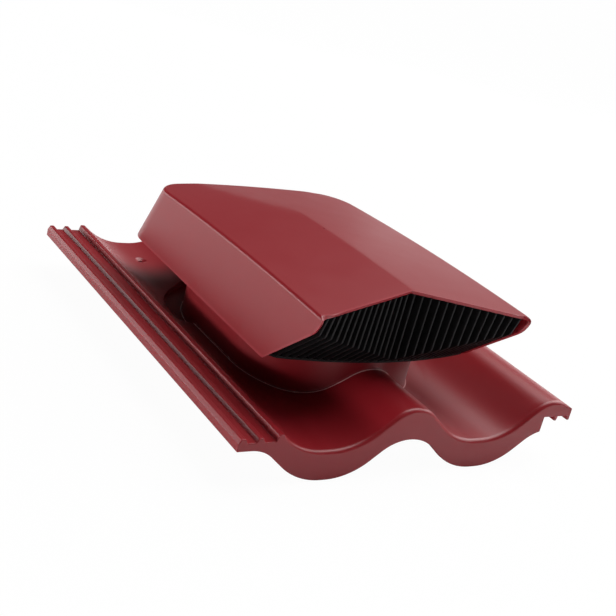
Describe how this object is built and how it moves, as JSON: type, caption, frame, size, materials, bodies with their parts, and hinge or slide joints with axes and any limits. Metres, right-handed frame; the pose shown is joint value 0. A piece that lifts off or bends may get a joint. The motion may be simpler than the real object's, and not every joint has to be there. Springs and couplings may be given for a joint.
{
  "type": "roof tile vent",
  "caption": "Wave-shaped roof tile moulding with a raised collar, a low hipped hood over it and a finned grille that closes the hood's front and underside.",
  "frame": {"origin": "under the middle of the tile, level with the lowest points of its apron and nibs", "axes": "+X to the right across the roof, +Y up the slope away from the grille, +Z out of the roof"},
  "size_m": [0.33, 0.42, 0.1387],
  "materials": {
    "red_plastic": "fine satin moulding grain",
    "black_plastic": "fine matte moulding grain",
    "screw_steel": "zinc plated"
  },
  "bodies": {
    "root": {"tile_base": "red_plastic", "hood": "red_plastic", "grille": "black_plastic", "floor_screws": "screw_steel"}
  },
  "joints": []
}
